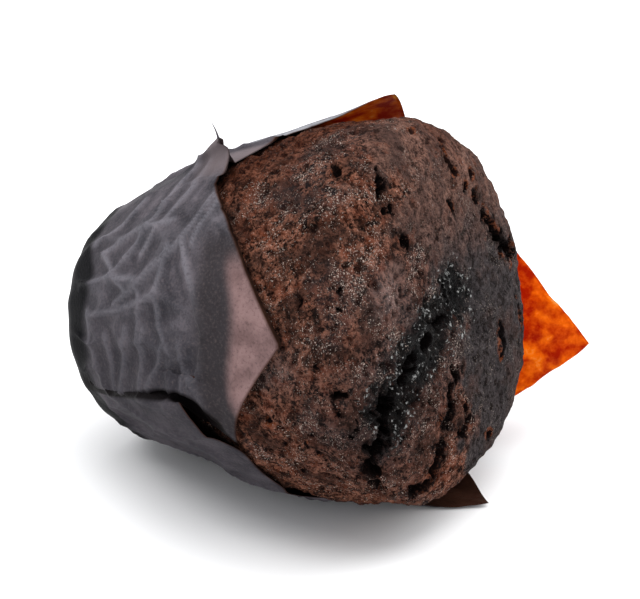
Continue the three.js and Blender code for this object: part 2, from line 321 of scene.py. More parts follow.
# ---- Meshes ----
def finished(name, bm, material):
    """Turn a mesh into a piece that rides the root, in its material."""
    mesh = bpy.data.meshes.new(name)
    bm.to_mesh(mesh)
    bm.free()
    mesh.shade_smooth()
    piece = bpy.data.objects.new(name, mesh)
    bpy.context.scene.collection.objects.link(piece)
    piece.data.materials.append(material)
    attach(piece, "root")
    return piece


def store(mesh, name, values):
    layer = mesh.attributes.new(name, "FLOAT", "POINT")
    layer.data.foreach_set("value", values.astype(np.float32))


def rim_height(angle):
    """How high the paper reaches up the cake at an angle, in radians."""
    turned = np.degrees(angle) % 360
    edges = sorted(((rib[3][0] % 360), rib[3][1]) for rib in RIBS if rib[4] != "fold")
    known = [a for a, _ in edges]
    heights = [h for _, h in edges]
    known = [known[-1] - 360] + known + [known[0] + 360]
    heights = [heights[-1]] + heights + [heights[0]]
    return np.interp(turned, known, heights)


# ---- The cake ----
def cake_section():
    """Half a section, from the middle of the base to the top of the crown."""
    section = [(0.0, 0.0), (0.0, FLAT_RADIUS * 0.5)]
    for turn in np.linspace(0, FOOT_TURN, 5):
        section.append((FOOT_ROUND * (1 - math.cos(turn)), FLAT_RADIUS + FOOT_ROUND * math.sin(turn)))
    for height in np.arange(10, 40, 3.0):
        section.append((height, float(side_radius(height))))
    for height in np.linspace(40, SHOULDER_HEIGHT, 72):
        section.append((height, float(side_radius(height))))
    crown = []
    for turn in np.linspace(0, math.pi / 2, 400)[1:]:
        radius = SHOULDER_RADIUS * max(math.cos(turn), 0) ** CROWN_SQUARENESS
        height = SHOULDER_HEIGHT + (CROWN_HEIGHT - SHOULDER_HEIGHT) * math.sin(turn)
        crown.append((height, radius if turn < math.pi / 2 - 1e-6 else 0.0))
    path = np.array([section[-1]] + crown)
    steps = np.concatenate([[0], np.cumsum(np.linalg.norm(np.diff(path, axis=0), axis=1))])
    for distance in np.linspace(0, steps[-1], 104)[1:]:
        section.append((np.interp(distance, steps, path[:, 0]), np.interp(distance, steps, path[:, 1])))
    return section


def cake_relief(places):
    """How far the surface stands out at each place, and masks for its colour, several of them painted light
    and shade.
    """
    height = places[:, 0]
    angle = np.arctan2(places[:, 2], places[:, 1])
    past_rim = height - np.minimum(rim_height(angle), BARE_HEIGHT)
    bare = smoothstep(past_rim, -9, -1)
    broad = grain(places, 24, 2, 1)
    lumps = grain(places, 7, 3, 2)
    fine = grain(places, 2.2, 3, 3)
    shifts = [grain(places, 3.4, 3, seed) for seed in (21, 22, 23)]
    warped = places + CRACK_WANDER * np.stack(shifts, axis=-1)

    border = 1 + 10 * smoothstep(places[:, 1], 2, 17) + 5 * lumps + 14 * grain(places, 10, 2, 5)
    crust = smoothstep(border - places[:, 2], -3, 3) * smoothstep(height + 1.5 * lumps, 70, 77)
    relief = 0.55 * broad + 0.65 * lumps + 0.60 * fine * (1 - 0.4 * crust)
    pores, holes = baked_holes(places, warped, crust)
    relief -= 0.6 * pores
    relief -= 0.9 * holes

    cut, fissure, torn = cracks_and_pits(places, warped, lumps, fine)
    relief -= cut
    torn = np.maximum(torn, 0.5 * holes * crust)
    from_melted = from_course(places + 1.3 * (warped - places), MELTED)
    melted = np.clip(1 - (from_melted / MELTED_WIDTH + 0.35 * lumps) / 2, 0, 1)
    relief += smoothstep(melted, 0.3, 0.7) * (0.6 * grain(places, 1.8, 2, 7) - 0.6)
    masks = {
        "crust": crust,
        "shaded": 1 - smoothstep(places[:, 1] + 6 * lumps + 3 * fine + 5 * broad, 3, 17),
        "fissure": np.maximum(fissure, 0.6 * holes) * bare,
        "torn": torn * bare,
        "melted": melted,
        "slate_round_melt": near_to(from_melted, SLATE_ROUND_MELT_REACH),
        # painted shade where the cake runs in under the paper
        "under_paper_shade": 1 - smoothstep(past_rim, -3.5, -0.8),
        # painted shadow of the top petal, with reddish painted light through it
        "under_petal_shadow": near_to(from_course(places, UNDER_TOP_PETAL), 7.5),
        "pore": np.maximum(pores, holes),
        "grey_patch": np.maximum(
            near_to(np.linalg.norm(places - np.array(LOW_GREY_PATCH), axis=1), 5.5),
            0.8 * near_to(from_course(places, HIGH_GREY_PATCH), 4.0),
        ),
    }
    return bare * relief - (1 - bare) * 0.25, masks


def near_to(distance, reach):
    """1 at no distance, fading away smoothly over the reach."""
    return np.exp(-((distance / reach) ** 2))


def baked_holes(places, warped, crust):
    """Small pores and larger holes that the batter's bubbles left, fewer of them in the crust."""
    pore, pick = cells(places, 2.3, 1)
    pores = smoothstep(-pore, -0.42, -0.16) * (pick > 0.45) * (1 - 0.8 * crust)
    hole, choice = cells(warped * np.array([1, 1, 0.7]), 6.5, 2)
    holes = smoothstep(-hole, -0.20, -0.08) * (choice > 0.35) * (1 - 0.6 * crust)
    return pores, holes


def cracks_and_pits(places, warped, lumps, fine):
    """How deep the cracks and pits cut in, how near a place is to one, and their torn rims."""
    cut = np.zeros(len(places))
    fissure = np.zeros(len(places))
    torn = np.zeros(len(places))
    for course, width, depth in FISSURES:
        away = from_course(warped, course) / (width * (1 + 0.5 * lumps)) + 0.55 * fine
        cut += 1.25 * depth * (1 - smoothstep(away, 0.45, 1.0))
        fissure = np.maximum(fissure, np.clip(1 - away / 2, 0, 1))
        torn = np.maximum(torn, 0.55 * near_to(away - 1.3, 0.5))
    for course, width, depth in PITS:
        away = from_course(places + 0.5 * (warped - places), course) / width + 0.22 * fine
        cut += depth * (1 - smoothstep(away, 0.35, 1.2))
        fissure = np.maximum(fissure, np.clip(1 - away / 2, 0, 1))
        torn = np.maximum(torn, near_to(away - 1.1, 0.7))
    beside_notch = from_course(warped, NOTCH) / NOTCH_RIM
    torn = np.maximum(torn, 0.8 * near_to(beside_notch - 1.0, 0.6))
    return cut, fissure, torn


def build_cake(material):
    """The cake: a spun section, swollen out of round, with its crumb, cracks and pits in relief."""
    bm = bmesh.new()
    verts = [bm.verts.new((h, r, 0)) for h, r in cake_section()]
    for one, two in zip(verts, verts[1:]):
        bm.edges.new((one, two))
    bmesh.ops.spin(bm, geom=bm.verts[:] + bm.edges[:], cent=(0, 0, 0), axis=(1, 0, 0),
                   angle=math.tau, steps=CAKE_STEPS, use_merge=True)
    bmesh.ops.remove_doubles(bm, verts=bm.verts, dist=1e-4)
    bmesh.ops.recalc_face_normals(bm, faces=bm.faces)
    bm.normal_update()
    places = np.array([v.co for v in bm.verts])
    normals = np.array([v.normal for v in bm.verts])
    angle = np.arctan2(places[:, 2], places[:, 1])
    swell = 1 + swelling(angle, places[:, 0]) / side_radius(places[:, 0])
    relief, masks = cake_relief(places)
    places[:, 1] *= swell
    places[:, 2] *= swell
    laid = lay(places + normals * relief[:, None])
    laid[:, 2] = np.maximum(laid[:, 2], SOLID_GAP * MM)
    for vert, place in zip(bm.verts, laid):
        vert.co = place
    bmesh.ops.recalc_face_normals(bm, faces=bm.faces)
    piece = finished("muffin_cake", bm, material)
    for name, values in masks.items():
        store(piece.data, name, values)
    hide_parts("cake")


# ---- The paper ----
def through(points, share):
    """The smooth curve through a few points, each with its share of the way."""
    course = np.zeros((3, len(share)))
    for own, point in points:
        weight = np.ones(len(share))
        for other, _ in points:
            if other != own:
                weight = weight * (share - other) / (own - other)
        course += weight * np.array(point, float)[:, None]
    return course


def rib_channels():
    """Angle, height and stand-off of every rib, at every row of the wall."""
    share = np.linspace(0, 1, WALL_ROWS + 1)
    ribs = []
    for name, foot, mid, edge, _ in RIBS:
        points = [(0, (foot, FOOT_HEIGHT, 0)), (0.5, mid), (1, edge)]
        if name in BENDS:
            points.append((0.75, BENDS[name]))
        ribs.append(through(points, share))
    return np.array(ribs)


def turned_at(kind, straight, rounded):
    """The slope at a rib. At a corner only the height turns sharply, so the sheet stays smooth."""
    if kind == "fold":
        return straight
    if kind == "corner":
        return np.stack([rounded[0], straight[1], rounded[2]])
    return rounded


def between_ribs(ribs):
    """The wall between the ribs: rounded at a plain rib and creased at a fold."""
    count = len(RIBS)
    lap = np.array([360.0, 0, 0])[:, None]
    kinds = [rib[4] for rib in RIBS] + [RIBS[0][4]]
    extended = np.concatenate([[ribs[-1] - lap], ribs, [ribs[0] + lap], [ribs[1] + lap]])
    spans = []
    for i in range(count):
        change = (extended[i + 2] - extended[i + 1])[:, (WALL_ROWS // 2, WALL_ROWS)]
        turned = np.radians(change[0]) * WALL_RADIUS
        spans.append(max(1.5, float(np.mean(np.sqrt(turned**2 + change[1] ** 2 + change[2] ** 2)))))
    total = sum(spans)
    wanted = [max(4, round(PAPER_COLUMNS * span / total)) for span in spans]
    reach = [spans[-1]] + spans + [spans[0]]
    slopes = []
    for i in range(count + 1):
        rise = extended[i + 2] - extended[i]
        slopes.append(rise / (reach[i] + reach[i + 1]))
    columns, tucked = [], []
    for i in range(count):
        one, two, span = extended[i + 1], extended[i + 2], spans[i]
        straight = (two - one) / span
        leave = turned_at(kinds[i], straight, slopes[i])
        arrive = turned_at(kinds[i + 1], straight, slopes[i + 1])
        for step in range(wanted[i]):
            t = step / wanted[i]
            columns.append(
                (2 * t**3 - 3 * t**2 + 1) * one + (t**3 - 2 * t**2 + t) * span * leave
                + (3 * t**2 - 2 * t**3) * two + (t**3 - t**2) * span * arrive
            )
        tucked += [float(RIBS[i][0] in TUCKED)] * wanted[i]
    columns.append(ribs[0] + lap)
    return np.array(columns), np.array(tucked + [0.0])


def sheet_places():
    """The middle of the sheet, columns by rows, with each place's angle and height."""
    wall, tucked = between_ribs(rib_channels())
    angle = np.radians(wall[:, 0])
    height = wall[:, 1]
    stand = np.maximum(wall[:, 2], 0)
    radius = side_radius(height) + swelling(angle, height) + PAPER_GAP + stand
    foot_share = np.linspace(0, 1, FOOT_ROWS + 1)[:-1]
    turn = np.clip((foot_share - FLAT_SHARE) / (1 - FLAT_SHARE), 0, 1) * FOOT_TURN
    around = FOOT_ROUND + PAPER_GAP
    foot_height = FOOT_ROUND - around * np.cos(turn)
    foot_radius = FLAT_RADIUS * np.minimum(foot_share / FLAT_SHARE, 1) + around * np.sin(turn)
    columns = len(wall)
    foot_angle = np.repeat(angle[:, :1], FOOT_ROWS, axis=1)
    angle = np.concatenate([foot_angle, angle], axis=1)
    height = np.concatenate([np.tile(foot_height, (columns, 1)), height], axis=1)
    radius = np.concatenate([np.tile(foot_radius, (columns, 1)), radius], axis=1)
    stand = np.concatenate([np.zeros((columns, FOOT_ROWS)), stand], axis=1)
    places = np.stack([height, radius * np.cos(angle), radius * np.sin(angle)], axis=-1)
    return places, angle, height, stand, tucked


def pressed_creases(angle, height):
    """The rise of the creases in CREASES, the lines themselves and the strips of painted shade beside them.
    """
    unrolled = np.stack([np.degrees(angle) * MM_PER_DEGREE, height, np.zeros(angle.size)], axis=-1)
    relief, lines, beside = np.zeros((3, angle.size))
    for course, rise, width in CREASES:
        for lap in (0, 360):
            line = [((turned + lap) * MM_PER_DEGREE, h, 0) for turned, h in course]
            away = from_course(unrolled, line) / width
            relief += 1.7 * rise * np.exp(-away)
            lines = np.maximum(lines, 0.85 * near_to(away, 1.05))
            beside = np.maximum(beside, near_to(away - 3.4, 1.5))
    return relief, lines, beside


def crinkles(places, angle, height):
    """How far the sheet stands out along its normal, with masks of painted highlight on its creases and
    painted shade in patches.
    """
    shape = angle.shape
    flat, angle, height = places.reshape(-1, 3), angle.ravel(), height.ravel()
    relief, lines, beside = pressed_creases(angle, height)
    stretched = flat * np.array([0.45, 1, 1])
    ridges = np.clip(1 - np.abs(grain(stretched, 11, 2, 11)) * 2.2, 0, 1) ** 3
    soft = grain(flat, 16, 2, 12)

    turned = np.degrees(angle) % 360
    near_petal = between(turned, 40, 50, 100, 110) * smoothstep(height, 43, 50)
    top_petal = smoothstep(turned, 305, 330) * smoothstep(height, 24, 36)
    smooth = np.maximum(near_petal, top_petal)
    low = smoothstep(height, 3, 10)
    relief += (1 - 0.8 * smooth) * low * (0.85 * ridges + 0.45 * soft)
    lines = np.maximum(lines, 0.30 * ridges * (1 - smooth) * low)
    # Painted shade in broad patches and in strips beside the creases.
    fold_shade = smoothstep(grain(stretched, 9, 2, 13), -0.15, 0.45)
    fold_shade = np.maximum(0.75 * fold_shade, 0.8 * beside) * (1 - smooth) * (1 - lines)
    relief += 0.16 * np.cos(FOOT_GATHERS * angle + 2 * soft) * near_to(height - 5, 5)
    return relief.reshape(shape), lines.reshape(shape), fold_shade.reshape(shape)


def between(value, start, full, fade, end):
    """1 from full to fade, and 0 before start and past end."""
    return smoothstep(value, start, full) * (1 - smoothstep(value, fade, end))


def paper_masks(angle, height, stand, tucked):
    """Where the paper's colour and glow change, most of them painted light and shade: each is 0 to 1 over
    the columns and rows of the sheet.
    """
    turned = np.degrees(angle) % 360
    waves = 1.5 * np.sin(5 * angle) + 0.9 * np.sin(11 * angle + 1)
    return {
        "sheer": smoothstep(stand, 0.5, 2.5) * between(turned, 213, 222, 342, 352)
        * (1 - 0.6 * smoothstep(turned, 285, 310)),
        # painted light on the upper edge of the near petal
        "lit_rim": smoothstep(height + 1.2 * np.sin(9 * angle), 54.5, 58) * between(turned, 48, 58, 100, 110),
        # painted shade on the near petal, where it turns away from the light
        "petal_shade": smoothstep(height, 45, 50) * between(turned, 40, 50, 100, 110),
        # painted shade where the paper turns in behind itself
        "tucked": tucked[:, None] * smoothstep(height, 2, 6),
        # painted sheen on the top petal's outer face
        "top_sheen": smoothstep(turned, 318, 340) * smoothstep(height, 30, 48),
        # painted light on the tip of the top pleat
        "tip": between(turned, 4, 9, 18, 24) * smoothstep(height, 34, 44),
        # painted shade on the lower side of the cup
        "lower_shade": between(turned, 45, 95, 130, 160),
        # painted shade round the foot
        "foot": (1 - smoothstep(height + waves, 8.5, 12)) * (0.5 + 0.5 * smoothstep(height, 0.5, 5)),
    }


def sheet_normals(places):
    """Which way each place of the sheet faces, away from the cake."""
    round_step = np.roll(places, -1, axis=0) - np.roll(places, 1, axis=0)
    round_step[0] = round_step[-1] = places[1] - places[-2]
    normals = np.cross(round_step, np.gradient(places, axis=1))
    normals /= np.linalg.norm(normals, axis=-1, keepdims=True) + 1e-12
    outwards = places * np.array([0, 1, 1]) - np.array([30, 0, 0])
    if np.sum(normals * outwards) < 0:
        normals = -normals
    normals[:, 0] = (-1, 0, 0)
    return normals


def thicken(bm, inside):
    """Give the sheet its thickness, outwards, and mark the layer that faces the cake."""
    bm.normal_update()
    middle = Vector(base_centre) + along * 0.04
    if sum(face.normal.dot(face.calc_center_median() - middle) for face in bm.faces) < 0:
        bmesh.ops.reverse_faces(bm, faces=bm.faces)
    bm.normal_update()
    own = bm.verts.layers.int.new("own")
    for i, vert in enumerate(bm.verts):
        vert[own] = i
    twins = [vert.co - vert.normal * PAPER_THICKNESS * MM for vert in bm.verts]
    bmesh.ops.solidify(bm, geom=bm.faces[:], thickness=PAPER_THICKNESS * MM)
    bm.verts.ensure_lookup_table()
    for vert in bm.verts[len(twins):]:
        vert.co = twins[vert[own]]
        vert[inside] = 1.0
    bm.verts.layers.int.remove(own)


def build_paper(material):
    """The cup: one sheet wrapped once round the cake, pleated, creased and given its thickness."""
    places, angle, height, stand, tucked = sheet_places()
    relief, creases, fold_shade = crinkles(places, angle, height)
    relief[:, 0] = 0
    outer = places + sheet_normals(places) * relief[..., None]
    laid = lay(outer.reshape(-1, 3)).reshape(places.shape)
    laid[..., 2] = np.maximum(laid[..., 2], SHEET_LIFT * MM)
    masks = {"crease": creases, "fold_shade": fold_shade, **paper_masks(angle, height, stand, tucked)}

    columns, rows = angle.shape[0] - 1, angle.shape[1] - 1
    bm = bmesh.new()
    bmesh.ops.create_grid(bm, x_segments=columns, y_segments=rows, size=1)
    layers = {name: bm.verts.layers.float.new(name) for name in [*masks, "inside"]}
    for vert in bm.verts:
        column = round((vert.co.x + 1) / 2 * columns)
        row = round((vert.co.y + 1) / 2 * rows)
        vert.co = laid[column, row]
        for name, values in masks.items():
            vert[layers[name]] = values[column, row]
    bmesh.ops.remove_doubles(bm, verts=bm.verts, dist=1e-6)
    thicken(bm, layers["inside"])
    piece = finished("folded_tulip_paper", bm, material)
    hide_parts("tulip_paper")


def build_torn_fibre(material):
    """The torn wisp of paper that curls up from the tip of the top pleat."""
    crest = next(rib for rib in RIBS if rib[0] == "crest of the top pleat")
    turned, height, stand = crest[3]
    angle = math.radians(turned)
    radius = side_radius(height) + PAPER_GAP + stand - 0.3
    foot = Vector(lay(np.array([[height, radius * math.cos(angle), radius * math.sin(angle)]]))[0])
    bm = bmesh.new()
    bmesh.ops.create_cone(bm, cap_ends=True, segments=8, radius1=FIBRE_WIDTH / 2 * MM,
                          radius2=FIBRE_WIDTH / 8 * MM, depth=FIBRE_LENGTH * MM)
    bmesh.ops.translate(bm, verts=bm.verts, vec=(0, 0, FIBRE_LENGTH / 2 * MM))
    long_edges = [e for e in bm.edges if abs(e.verts[0].co.z - e.verts[1].co.z) > MM]
    bmesh.ops.subdivide_edges(bm, edges=long_edges, cuts=6)
    for vert in bm.verts:
        share = vert.co.z / (FIBRE_LENGTH * MM)
        vert.co.x -= (0.5 * share + 0.5 * share**2) * FIBRE_LEAN * MM
        vert.co = foot + vert.co
    finished("torn_paper_fibre", bm, material)


# ---- Colours ----
def colour(red, green, blue):
    return (red, green, blue, 1.0)


CRUMB_HOLLOW = colour(0.006, 0.002, 0.001)  # cake: broken crumb; the hollow colour is painted shade
CRUMB_LUMP = colour(0.255, 0.104, 0.066)
CRUMB_RED = colour(0.17, 0.046, 0.022)
CRUMB_DARK = colour(0.026, 0.013, 0.01)
CRUMB_GREY = colour(0.03, 0.026, 0.028)
# painted highlight
GLINT = colour(0.52, 0.42, 0.36)
PATCH_GREY = colour(0.17, 0.13, 0.125)
SKIN_HOLLOW = colour(0.012, 0.005, 0.004)  # baked skin of the crown; the hollow colour is painted shade
SKIN_LUMP = colour(0.235, 0.12, 0.089)
SKIN_DARK = colour(0.046, 0.026, 0.022)
SKIN_RED = colour(0.13, 0.042, 0.023)
SLATE_DARK = colour(0.006, 0.005, 0.005)  # painted shade on the skin's lower side, also laid round the melted streak
SLATE_LIGHT = colour(0.062, 0.054, 0.056)
TORN_RED = colour(0.17, 0.044, 0.015)  # cracks, pits and bubbles: red torn rims, and blacks that are painted shade in the hollows
CREVICE_BLACK = colour(0.006, 0.003, 0.002)
PORE_BLACK = colour(0.012, 0.004, 0.003)
HOLE_BLACK = colour(0.004, 0.002, 0.002)
CRACK_BLACK = colour(0.002, 0.001, 0.001)
MELTED_BLACK = colour(0.002, 0.002, 0.002)  # chocolate that has run
# painted highlight
MELTED_GLINT = colour(0.38, 0.38, 0.37)
UNDER_PETAL_DARK = colour(0.01, 0.002, 0.001)  # painted shadow of the top petal on the cake, reddened as painted light through the petal
UNDER_PETAL_RED = colour(0.09, 0.026, 0.012)
# painted shade where the cake runs in under the paper
UNDER_PAPER_SHADE_BLACK = colour(0.003, 0.002, 0.002)
PAPER_DARK = colour(0.032, 0.03, 0.036)  # paper: its outer face
PAPER_LIGHT = colour(0.112, 0.099, 0.112)
STREAK_GREY = colour(0.1, 0.092, 0.105)
# painted shade in the folds
FOLD_SHADE_GREY = colour(0.024, 0.024, 0.029)
# painted highlight on the creases
CREASE_HIGHLIGHT_GREY = colour(0.2, 0.195, 0.22)
# painted shade on the lower side
LOWER_SHADE_GREY = colour(0.016, 0.015, 0.019)
# painted shade on the near petal
PETAL_SHADE_GREY = colour(0.025, 0.022, 0.024)
FIBRE_LIGHT = colour(0.19, 0.14, 0.13)
FIBRE_DARK = colour(0.03, 0.02, 0.02)
# painted shade round the foot
FOOT_SHADE_BLACK = colour(0.0015, 0.0015, 0.002)
# painted sheen
SHEEN_GREY = colour(0.26, 0.265, 0.285)
LIT_RIM_DEEP = colour(0.145, 0.088, 0.085)  # painted light on the upper edge of the near petal
LIT_RIM_PINK = colour(0.24, 0.15, 0.145)
GLOW_DEEP = colour(0.6, 0.09, 0.003)  # light through the paper
GLOW_ORANGE = colour(1.0, 0.4, 0.05)
GLOW_PALE = colour(1.0, 0.68, 0.38)
INSIDE_DARK = colour(0.022, 0.009, 0.006)  # inner face and pleats; painted light on the top pleat's tip, painted shade in the tucked pleat
INSIDE_BROWN = colour(0.045, 0.019, 0.012)
TIP_HIGHLIGHT_GREY = colour(0.15, 0.12, 0.124)
TUCKED_SHADE_BLACK = colour(0.003, 0.002, 0.002)
FLOOR_WHITE = colour(0.9, 0.9, 0.9)  # stage
SKY_WHITE = colour(0.96, 0.97, 1.0)


# ---- Materials ----
class Tree:
    """A material's nodes, added one at a time."""

    def __init__(self, tree):
        self.tree = tree
        self.nodes = tree.nodes

    def add(self, kind, settings=None, **inputs):
        node = self.nodes.new(kind)
        for name, value in (settings or {}).items():
            setattr(node, name, value)
        for name, value in inputs.items():
            self.feed(node.inputs[name.replace("_", " ")], value)
        return node

    def feed(self, socket, value):
        if isinstance(value, bpy.types.NodeSocket):
            self.tree.links.new(value, socket)
        else:
            socket.default_value = value

    def place(self):
        return self.add("ShaderNodeTexCoord").outputs["Object"]

    def mask(self, name):
        return self.add("ShaderNodeAttribute", {"attribute_name": name}).outputs["Fac"]

    def noise(self, place, size_mm, detail, roughness):
        node = self.add("ShaderNodeTexNoise", Vector=place, Scale=1 / (size_mm * MM), Detail=detail)
        node.inputs["Roughness"].default_value = roughness
        return node.outputs["Fac"]

    def math(self, operation, one, two):
        node = self.nodes.new("ShaderNodeMath")
        node.operation = operation
        self.feed(node.inputs[0], one)
        self.feed(node.inputs[1], two)
        return node.outputs[0]

    def range(self, value, low, high, to_low=0.0, to_high=1.0):
        node = self.nodes.new("ShaderNodeMapRange")
        node.clamp = True
        for socket, number in zip(node.inputs[:5], (value, low, high, to_low, to_high)):
            self.feed(socket, number)
        return node.outputs[0]

    def mix(self, share, one, two):
        node = self.nodes.new("ShaderNodeMix")
        node.data_type = "RGBA"
        self.feed(node.inputs[0], share)
        self.feed(node.inputs[6], one)
        self.feed(node.inputs[7], two)
        return node.outputs[2]

    def tint(self, surface, mask, strength, shade):
        """Lay a colour over the surface where the mask is, up to a strength."""
        return self.mix(self.math("MULTIPLY", mask, strength), surface, shade)

    def bump(self, height, strength, distance_mm):
        node = self.add("ShaderNodeBump", Height=height, Strength=strength, Distance=distance_mm * MM)
        return node.outputs["Normal"]


def new_material(name):
    material = bpy.data.materials.new(name)
    material.use_nodes = True
    material.node_tree.nodes.clear()
    tree = Tree(material.node_tree)
    return material, tree, tree.nodes.new("ShaderNodeOutputMaterial")


def mottled_grain():
    """A group that both the crumb and the paper use: broad patches and a fine grain."""
    group = bpy.data.node_groups.new("mottled_grain", "ShaderNodeTree")
    for name in ("Patch Scale", "Patch Detail", "Patch Roughness", "Grain Scale"):
        group.interface.new_socket(name, in_out="INPUT", socket_type="NodeSocketFloat")
    for name in ("Patches", "Grain"):
        group.interface.new_socket(name, in_out="OUTPUT", socket_type="NodeSocketFloat")
    t = Tree(group)
    given = t.add("NodeGroupInput")
    result = t.add("NodeGroupOutput")
    place = t.place()
    patches = t.add("ShaderNodeTexNoise", Vector=place, Scale=given.outputs["Patch Scale"],
                    Detail=given.outputs["Patch Detail"], Roughness=given.outputs["Patch Roughness"])
    grain_noise = t.add("ShaderNodeTexNoise", Vector=place, Scale=given.outputs["Grain Scale"],
                        Detail=GRAIN_DETAIL, Roughness=GRAIN_ROUGHNESS)
    t.feed(result.inputs["Patches"], patches.outputs["Fac"])
    t.feed(result.inputs["Grain"], grain_noise.outputs["Fac"])
    return group


def mottling(t, patch_mm, detail, roughness, grain_mm):
    """The mottled grain in a material, with the sizes of its patches and grain."""
    node = t.add("ShaderNodeGroup", {"node_tree": bpy.data.node_groups["mottled_grain"]})
    node.inputs["Patch Scale"].default_value = 1 / (patch_mm * MM)
    node.inputs["Patch Detail"].default_value = detail
    node.inputs["Patch Roughness"].default_value = roughness
    node.inputs["Grain Scale"].default_value = 1 / (grain_mm * MM)
    return node.outputs["Patches"], node.outputs["Grain"]


def crumb_colour(t, place, ragged, reds, patches):
    """Broken crumb: light lumps over hollows darkened with painted shade, with reddish and dark patches."""
    crumb = t.mix(t.range(ragged, 0.44, 0.57), CRUMB_HOLLOW, CRUMB_LUMP)
    crumb = t.mix(t.range(reds, 0.50, 0.64, 0, 0.6), crumb, CRUMB_RED)
    crumb = t.mix(t.range(patches, 0.46, 0.60, 0, 0.75), crumb, CRUMB_DARK)
    greys = t.range(t.noise(place, 14.0, 3, 0.5), 0.52, 0.62, 0, 0.4)
    return t.mix(greys, crumb, CRUMB_GREY)


def skin_colour(t, ragged, reds, patches, slate):
    """The baked skin of the crown, darkened with painted shade in its hollows and slate grey painted shade
    on its lower side.
    """
    skin = t.mix(t.range(ragged, 0.39, 0.62), SKIN_HOLLOW, SKIN_LUMP)
    skin = t.mix(t.range(patches, 0.42, 0.58, 0, 0.75), skin, SKIN_DARK)
    skin = t.mix(t.range(reds, 0.56, 0.70, 0, 0.5), skin, SKIN_RED)
    # Painted shade: the lower side of the skin turns slate grey.
    return t.mix(t.math("MULTIPLY", t.mask("shaded"), t.range(patches, 0.62, 0.50, 0.55, 0.95)), skin, slate)


def torn_rims(t, surface, ragged, reds):
    """Reddish crumb where the rims of cracks and pits are torn open."""
    rim = t.math("MULTIPLY", t.mask("torn"), t.range(reds, 0.40, 0.60, 0.2, 1.0))
    rim = t.math("ADD", rim, t.math("SUBTRACT", ragged, 0.5))
    return t.mix(t.range(rim, 0.42, 0.80, 0, 0.85), surface, TORN_RED)


def glints_on(t, place, surface, crust):
    """Painted highlights: clustered bright points in the base colour where the crumb glints."""
    grit = t.noise(place, 0.33, 2, 0.7)
    clusters = t.range(t.noise(place, 7.0, 4, 0.65), 0.40, 0.62, -0.07, 0.07)
    glints = t.range(t.math("ADD", grit, clusters), 0.635, 0.70)
    return t.tint(surface, glints, t.range(crust, 0.0, 1.0, 0.85, 0.30), GLINT)


def raggedly(t, mask, ragged, amount, low, high):
    """A mask with its edge broken up along the crumb."""
    frayed = t.math("MULTIPLY", t.math("SUBTRACT", ragged, 0.5), amount)
    return t.range(t.math("ADD", mask, frayed), low, high)


def melted_chocolate(t, place, surface, glaze):
    """The black glossy streak, with clumps of painted highlights on it."""
    surface = t.tint(surface, glaze, 0.95, MELTED_BLACK)
    clumps = t.range(t.noise(place, 3.0, 2, 0.6), 0.42, 0.62, -0.10, 0.04)
    points = t.range(t.math("ADD", t.noise(place, 0.75, 3, 0.7), clumps), 0.58, 0.66)
    return t.tint(surface, t.math("MULTIPLY", glaze, points), 0.85, MELTED_GLINT)


def chocolate_cake():
    """Reddish broken crumb, a duller baked skin, cracks painted black as shade and a glossy melted streak.
    """
    material, t, output = new_material("chocolate_cake")
    place = t.place()
    crust = t.mask("crust")
    patches, fine = mottling(t, 8.0, 3, 0.6, 0.55)
    crumbs = t.noise(place, 1.5, 4, 0.7)
    reds = t.noise(place, 3.4, 3, 0.65)
    ragged = t.math("ADD", t.math("MULTIPLY", crumbs, 0.6), t.math("MULTIPLY", fine, 0.4))

    slate = t.mix(t.range(ragged, 0.38, 0.64), SLATE_DARK, SLATE_LIGHT)
    crumb = crumb_colour(t, place, ragged, reds, patches)
    surface = t.mix(crust, crumb, skin_colour(t, ragged, reds, patches, slate))
    # The crumb round the melted streak is darkened towards the slate grey.
    surface = t.tint(surface, t.mask("slate_round_melt"), t.range(patches, 0.60, 0.44, 0.25, 1.0), slate)
    # Painted shade: black crevices between the crumbs.
    crevice = t.range(t.noise(place, 2.4, 3, 0.6), 0.44, 0.37)
    surface = t.tint(surface, crevice, 0.75, CREVICE_BLACK)
    # Lighter grey patches on the crumb.
    grey_patch = t.range(crumbs, 0.4, 0.6, 0.15, 0.6)
    surface = t.tint(surface, t.mask("grey_patch"), grey_patch, PATCH_GREY)
    surface = torn_rims(t, surface, ragged, reds)
    # Painted shade in the pores and holes of the relief.
    surface = t.tint(surface, t.mask("pore"), 0.7, PORE_BLACK)
    holes = t.range(t.noise(place, 0.42, 2, 0.7), 0.40, 0.32)
    surface = t.tint(surface, holes, 0.8, HOLE_BLACK)
    surface = glints_on(t, place, surface, crust)
    glaze = raggedly(t, t.mask("melted"), ragged, 3.0, 0.40, 0.56)
    surface = melted_chocolate(t, place, surface, glaze)
    # Painted shade: the cracks go black.
    deep = raggedly(t, t.mask("fissure"), ragged, 2.2, 0.36, 0.50)
    surface = t.tint(surface, deep, 0.97, CRACK_BLACK)
    # Painted shadow under the top petal's rim, with reddish painted light through the petal.
    under_petal = t.mix(t.range(ragged, 0.42, 0.60), UNDER_PETAL_DARK, UNDER_PETAL_RED)
    surface = t.tint(surface, t.mask("under_petal_shadow"), 0.85, under_petal)
    # Painted shade: the cake goes black where it runs in under the paper.
    surface = t.tint(surface, t.mask("under_paper_shade"), 0.95, UNDER_PAPER_SHADE_BLACK)

    height = t.math("ADD", crumbs, t.math("MULTIPLY", fine, 0.6))
    height = t.math("SUBTRACT", height, t.math("MULTIPLY", holes, 0.2))
    shader = t.add("ShaderNodeBsdfPrincipled")
    shader.inputs["Specular IOR Level"].default_value = 0.03
    t.feed(shader.inputs["Base Color"], surface)
    t.feed(shader.inputs["Roughness"], t.range(glaze, 0.0, 1.0, 0.80, 0.30))
    t.feed(shader.inputs["Normal"], t.bump(height, 1.0, 1.3))
    t.feed(output.inputs["Surface"], shader.outputs[0])
    return material


